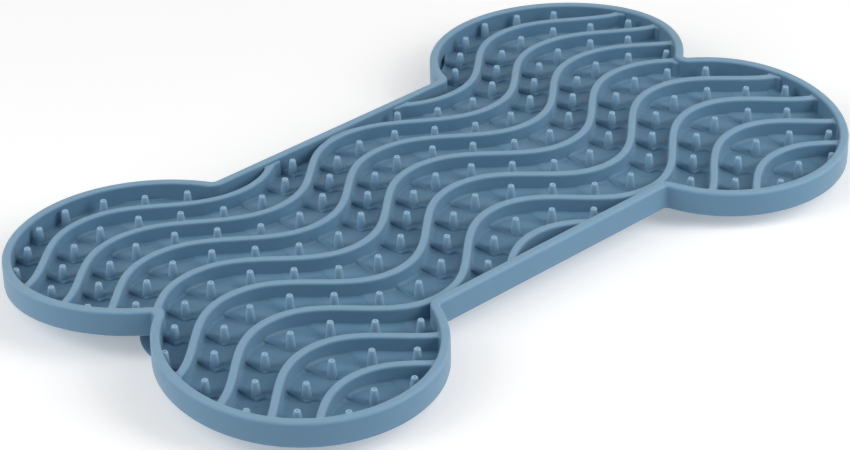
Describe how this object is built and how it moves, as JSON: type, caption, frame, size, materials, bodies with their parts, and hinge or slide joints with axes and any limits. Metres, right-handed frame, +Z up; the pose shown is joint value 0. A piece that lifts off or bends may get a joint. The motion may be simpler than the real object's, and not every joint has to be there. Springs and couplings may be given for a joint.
{
  "type": "lick mat",
  "caption": "Bone-shaped silicone lick mat with a raised rim, wavy ribs, rows of small pegs and suction cups under it.",
  "frame": {"origin": "middle of the mat in plan, on the surface that the lips of its suction cups stand on", "axes": "+X along the bone, +Y across it, +Z up out of the ribbed face"},
  "size_m": [0.2598, 0.1546, 0.0172],
  "materials": {
    "silicone": "matt moulded silicone"
  },
  "bodies": {
    "root": {"mat": "silicone"}
  },
  "joints": []
}
